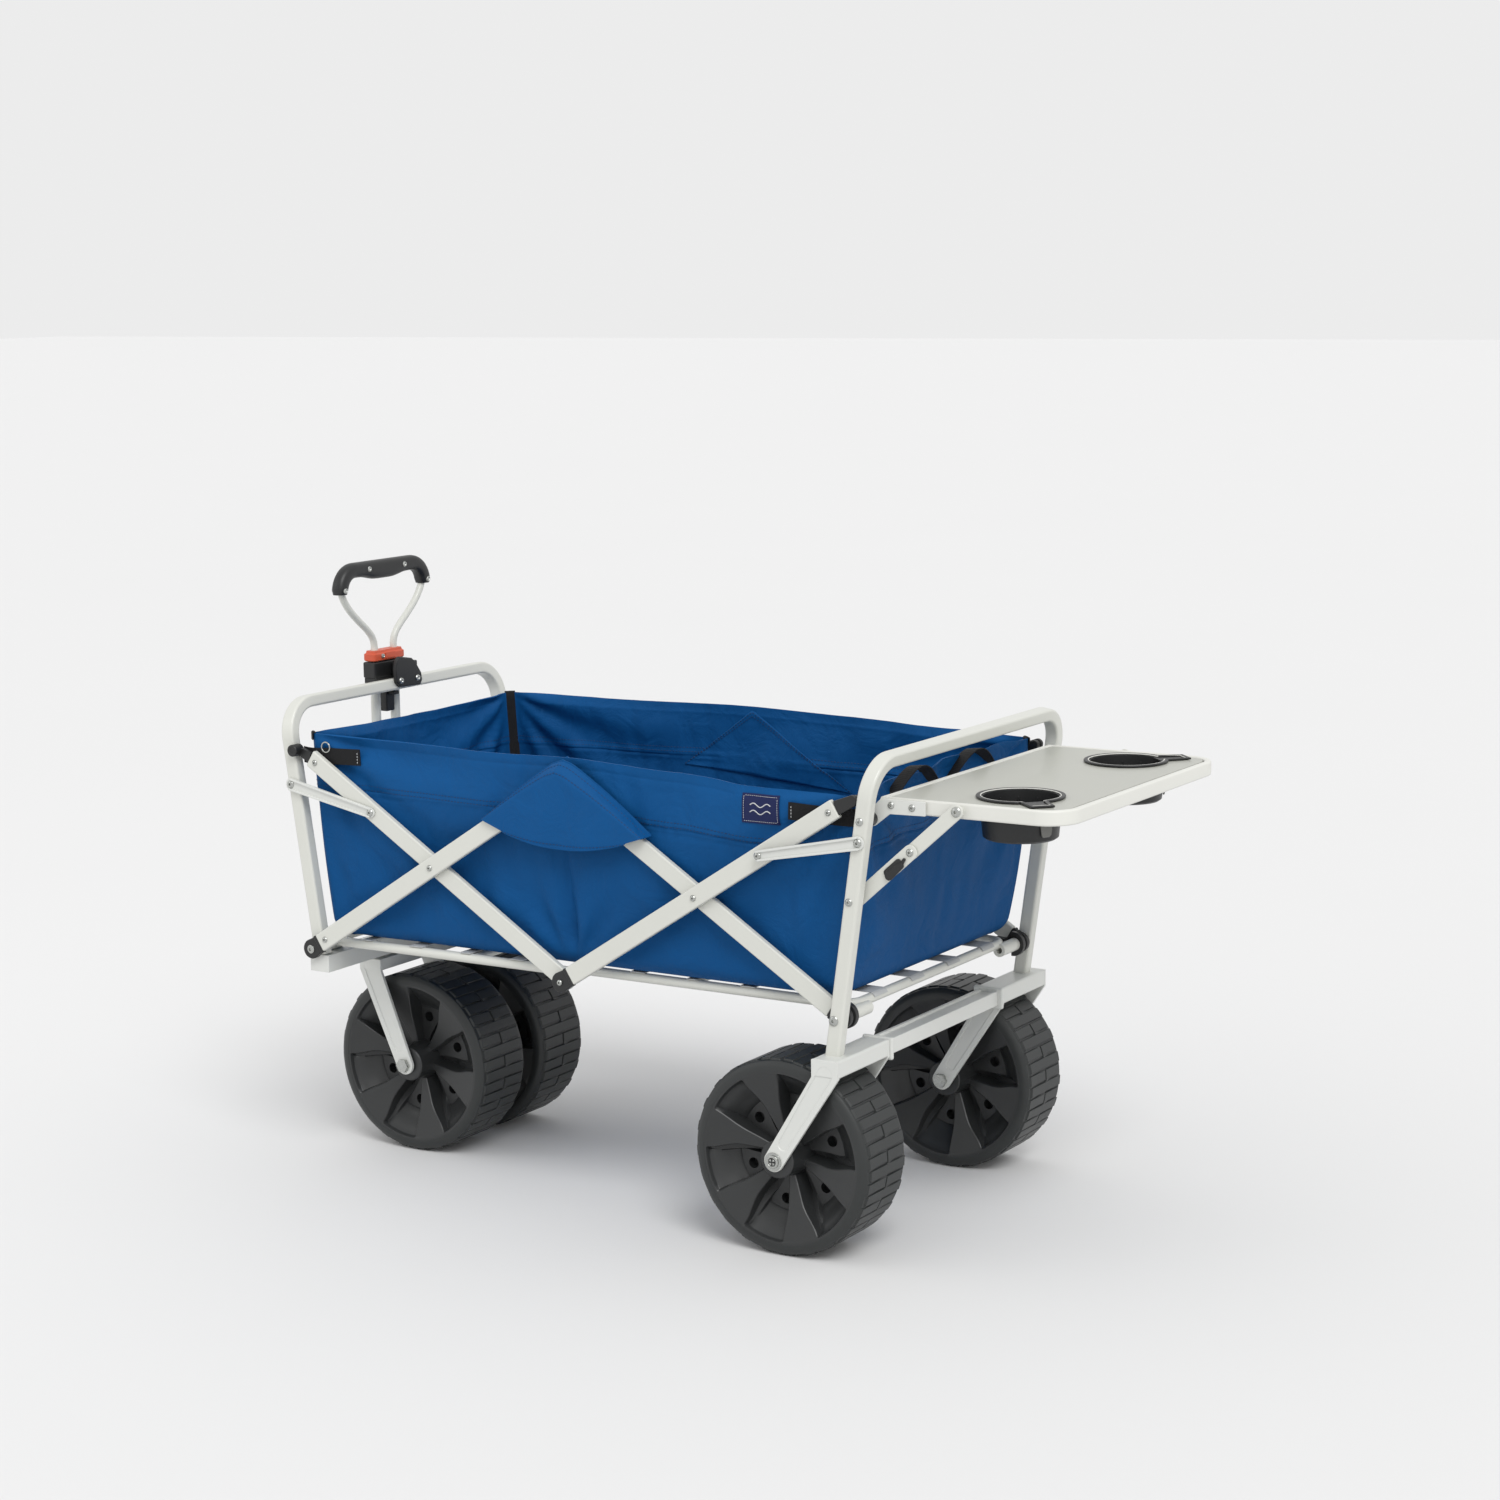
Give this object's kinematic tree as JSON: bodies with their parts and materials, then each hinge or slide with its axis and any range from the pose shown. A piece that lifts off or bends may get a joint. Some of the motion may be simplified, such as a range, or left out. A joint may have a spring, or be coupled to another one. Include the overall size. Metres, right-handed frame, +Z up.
{
  "type": "folding beach cart",
  "caption": "Folding fabric cart on wide beach wheels, with scissor sides, a telescoping pull handle, a swivelling front wheel pair and a fold-down table with cup holders.",
  "frame": {"origin": "centre of the cart's box, on the floor under the wheels", "axes": "+X from the pull handle towards the side table, +Z up, +Y to the far side"},
  "size_m": [1.206, 0.587, 0.8225],
  "materials": {
    "frame_paint": "satin powder coat",
    "black_plastic": "moulded, lightly textured",
    "wheel_plastic": "blow moulded, satin",
    "red_plastic": "moulded",
    "fabric": "woven polyester",
    "zinc": "zinc plated",
    "table_laminate": "satin laminate with painted rim"
  },
  "bodies": {
    "rear_frame": {"rear_frame": "frame_paint", "rear_beam": "frame_paint", "rear_fork_near": "frame_paint", "rear_fork_far": "frame_paint", "rear_axle_near": "zinc", "rear_axle_far": "zinc", "fabric_side_near": "fabric", "fabric_side_far": "fabric", "fabric_floor": "fabric", "fabric_end_rear": "fabric"},
    "front_frame": {"front_frame": "frame_paint", "front_beam": "frame_paint", "handle_clip": "black_plastic", "fabric_end_front": "fabric"},
    "caster": {"caster_fork": "frame_paint", "front_axle": "zinc"},
    "table": {"table_top": "table_laminate", "cup_holder_near": "black_plastic", "cup_holder_far": "black_plastic", "table_bracket_near": "frame_paint", "table_bracket_far": "frame_paint"},
    "handle_lower": {"handle_tubes": "frame_paint", "handle_cap": "black_plastic"},
    "handle_upper": {"handle_loop": "frame_paint", "handle_grip": "black_plastic", "handle_collar": "red_plastic"},
    "floor_rear": {"floor_rail_rear": "frame_paint"},
    "floor_front": {"floor_rail_front": "frame_paint"},
    "rear_wheel_near": {"rear_wheel_near": "wheel_plastic"},
    "front_wheel_near": {"front_wheel_near": "wheel_plastic"},
    "rear_inner_bar_near": {"rear_inner_bar_near": "frame_paint", "rear_foot_fitting_near": "black_plastic"},
    "rear_outer_bar_near": {"rear_outer_bar_near": "frame_paint", "middle_fitting_near": "black_plastic", "rear_top_fitting_near": "black_plastic"},
    "front_inner_bar_near": {"front_inner_bar_near": "frame_paint", "front_top_fitting_near": "black_plastic"},
    "front_outer_bar_near": {"front_outer_bar_near": "frame_paint", "front_foot_fitting_near": "black_plastic"},
    "rear_link_near": {"rear_link_near": "frame_paint"},
    "front_link_near": {"front_link_near": "frame_paint"},
    "brace_lower_near": {"brace_lower_near": "frame_paint"},
    "brace_upper_near": {"brace_upper_near": "frame_paint"},
    "brace_lock_near": {"brace_lock_near": "black_plastic"},
    "rear_wheel_far": {"rear_wheel_far": "wheel_plastic"},
    "front_wheel_far": {"front_wheel_far": "wheel_plastic"},
    "rear_inner_bar_far": {"rear_inner_bar_far": "frame_paint", "rear_foot_fitting_far": "black_plastic"},
    "rear_outer_bar_far": {"rear_outer_bar_far": "frame_paint", "middle_fitting_far": "black_plastic", "rear_top_fitting_far": "black_plastic"},
    "front_inner_bar_far": {"front_inner_bar_far": "frame_paint", "front_top_fitting_far": "black_plastic"},
    "front_outer_bar_far": {"front_outer_bar_far": "frame_paint", "front_foot_fitting_far": "black_plastic"},
    "rear_link_far": {"rear_link_far": "frame_paint"},
    "front_link_far": {"front_link_far": "frame_paint"},
    "brace_lower_far": {"brace_lower_far": "frame_paint"},
    "brace_upper_far": {"brace_upper_far": "frame_paint"},
    "brace_lock_far": {"brace_lock_far": "black_plastic"}
  },
  "joints": [
    {"name": "fold", "type": "hinge", "parent": "rear_frame", "child": "rear_inner_bar_near", "pos_m": [0.3043, -0.2423, 0.311], "axis": [0, 1, 0], "range_deg": [0, 43], "deforming": ["fabric_side_near", "fabric_side_far", "fabric_floor", "fabric_end_rear", "fabric_end_front"]},
    {"name": "rear_cross_near", "type": "hinge", "parent": "rear_inner_bar_near", "child": "rear_outer_bar_near", "pos_m": [0.09584, -0.2472, 0.4433], "axis": [0, 1, 0], "range_deg": [-86.5, 0.5]},
    {"name": "middle_pivot_near", "type": "hinge", "parent": "rear_outer_bar_near", "child": "front_inner_bar_near", "pos_m": [-0.11263, -0.2472, 0.311], "axis": [0, 1, 0], "range_deg": [-0.5, 86.5]},
    {"name": "front_cross_near", "type": "hinge", "parent": "front_inner_bar_near", "child": "front_outer_bar_near", "pos_m": [-0.32109, -0.2472, 0.4433], "axis": [0, 1, 0], "range_deg": [-86.5, 0.5]},
    {"name": "fold_far", "type": "hinge", "parent": "rear_frame", "child": "rear_inner_bar_far", "pos_m": [0.3043, 0.2423, 0.311], "axis": [0, 1, 0], "range_deg": [-0.5, 43.5]},
    {"name": "rear_cross_far", "type": "hinge", "parent": "rear_inner_bar_far", "child": "rear_outer_bar_far", "pos_m": [0.09584, 0.2472, 0.4433], "axis": [0, 1, 0], "range_deg": [-86.5, 0.5]},
    {"name": "middle_pivot_far", "type": "hinge", "parent": "rear_outer_bar_far", "child": "front_inner_bar_far", "pos_m": [-0.11263, 0.2472, 0.311], "axis": [0, 1, 0], "range_deg": [-0.5, 86.5]},
    {"name": "front_cross_far", "type": "hinge", "parent": "front_inner_bar_far", "child": "front_outer_bar_far", "pos_m": [-0.32109, 0.2472, 0.4433], "axis": [0, 1, 0], "range_deg": [-86.5, 0.5]},
    {"name": "front_frame_pivot", "type": "hinge", "parent": "front_outer_bar_near", "child": "front_frame", "pos_m": [-0.52956, -0.243, 0.311], "axis": [0, 1, 0], "range_deg": [-0.5, 43.5]},
    {"name": "rear_link_near_pivot", "type": "hinge", "parent": "rear_frame", "child": "rear_link_near", "pos_m": [0.3413, -0.264, 0.537], "axis": [0, 1, 0], "range_deg": [-0.5, 74.15]},
    {"name": "front_link_near_pivot", "type": "hinge", "parent": "front_frame", "child": "front_link_near", "pos_m": [-0.56056, -0.247, 0.537], "axis": [0, 1, 0], "range_deg": [-76.73, 0.5]},
    {"name": "rear_link_far_pivot", "type": "hinge", "parent": "rear_frame", "child": "rear_link_far", "pos_m": [0.3413, 0.264, 0.537], "axis": [0, 1, 0], "range_deg": [-0.5, 74.15]},
    {"name": "front_link_far_pivot", "type": "hinge", "parent": "front_frame", "child": "front_link_far", "pos_m": [-0.56056, 0.247, 0.537], "axis": [0, 1, 0], "range_deg": [-76.73, 0.5]},
    {"name": "floor_rear_hinge", "type": "hinge", "parent": "rear_frame", "child": "floor_rear", "pos_m": [0.3043, 0, 0.311], "axis": [0, 1, 0], "range_deg": [-0.5, 73.13]},
    {"name": "floor_front_hinge", "type": "hinge", "parent": "front_frame", "child": "floor_front", "pos_m": [-0.52956, 0, 0.311], "axis": [0, 1, 0], "range_deg": [-73.13, 0.5]},
    {"name": "rear_wheel_near_spin", "type": "hinge", "parent": "rear_frame", "child": "rear_wheel_near", "pos_m": [0.228, -0.221, 0.127], "axis": [0, 1, 0], "continuous": true},
    {"name": "front_wheel_near_spin", "type": "hinge", "parent": "caster", "child": "front_wheel_near", "pos_m": [-0.469, -0.071, 0.127], "axis": [0, 1, 0], "continuous": true},
    {"name": "rear_wheel_far_spin", "type": "hinge", "parent": "rear_frame", "child": "rear_wheel_far", "pos_m": [0.228, 0.221, 0.127], "axis": [0, 1, 0], "continuous": true},
    {"name": "front_wheel_far_spin", "type": "hinge", "parent": "caster", "child": "front_wheel_far", "pos_m": [-0.469, 0.071, 0.127], "axis": [0, 1, 0], "continuous": true},
    {"name": "caster_swivel", "type": "hinge", "parent": "front_frame", "child": "caster", "pos_m": [-0.524, 0, 0.29], "axis": [0, 0, 1], "continuous": true},
    {"name": "handle_tilt", "type": "hinge", "parent": "front_frame", "child": "handle_lower", "pos_m": [-0.591, 0, 0.29], "axis": [0, -1, 0], "range_deg": [0, 95]},
    {"name": "handle_extend", "type": "slide", "parent": "handle_lower", "child": "handle_upper", "axis": [0, 0, 1], "range_m": [0, 0.28]},
    {"name": "table_fold", "type": "hinge", "parent": "rear_frame", "child": "table", "pos_m": [0.343, 0, 0.563], "axis": [0, 1, 0], "range_deg": [0, 90]},
    {"name": "brace_foot_near", "type": "hinge", "parent": "rear_frame", "child": "brace_lower_near", "pos_m": [0.327, -0.243, 0.462], "axis": [0, 1, 0], "range_deg": [-0.5, 124.7]},
    {"name": "brace_top_near", "type": "hinge", "parent": "table", "child": "brace_upper_near", "pos_m": [0.462, -0.243, 0.581], "axis": [0, 1, 0], "range_deg": [-123.74, 0.5]},
    {"name": "brace_lock_near_slide", "type": "slide", "parent": "brace_lower_near", "child": "brace_lock_near", "axis": [-0.7502, 0, -0.6613], "range_m": [0, 0.006], "stiffness_N_per_m": 150},
    {"name": "brace_foot_far", "type": "hinge", "parent": "rear_frame", "child": "brace_lower_far", "pos_m": [0.327, 0.243, 0.462], "axis": [0, 1, 0], "range_deg": [-0.5, 124.7]},
    {"name": "brace_top_far", "type": "hinge", "parent": "table", "child": "brace_upper_far", "pos_m": [0.462, 0.243, 0.581], "axis": [0, 1, 0], "range_deg": [-123.74, 0.5]},
    {"name": "brace_lock_far_slide", "type": "slide", "parent": "brace_lower_far", "child": "brace_lock_far", "axis": [-0.7502, 0, -0.6613], "range_m": [0, 0.006], "stiffness_N_per_m": 150}
  ],
  "couplings": [
    {"joint": "rear_cross_near", "follows": "fold", "ratio": -2},
    {"joint": "middle_pivot_near", "follows": "fold", "ratio": 2},
    {"joint": "front_cross_near", "follows": "fold", "ratio": -2},
    {"joint": "fold_far", "follows": "fold", "ratio": 1},
    {"joint": "rear_cross_far", "follows": "fold", "ratio": -2},
    {"joint": "middle_pivot_far", "follows": "fold", "ratio": 2},
    {"joint": "front_cross_far", "follows": "fold", "ratio": -2},
    {"joint": "front_frame_pivot", "follows": "fold", "ratio": 1},
    {"joint": "rear_link_near_pivot", "follows": "fold", "ratio": 1.7127},
    {"joint": "front_link_near_pivot", "follows": "fold", "ratio": -1.7728},
    {"joint": "rear_link_far_pivot", "follows": "fold", "ratio": 1.7127},
    {"joint": "front_link_far_pivot", "follows": "fold", "ratio": -1.7728},
    {"joint": "floor_rear_hinge", "follows": "fold", "ratio": 1.6891},
    {"joint": "floor_front_hinge", "follows": "fold", "ratio": -1.6891},
    {"joint": "brace_foot_near", "follows": "table_fold", "ratio": 1.38},
    {"joint": "brace_top_near", "follows": "table_fold", "ratio": -1.3693},
    {"joint": "brace_foot_far", "follows": "table_fold", "ratio": 1.38},
    {"joint": "brace_top_far", "follows": "table_fold", "ratio": -1.3693}
  ]
}
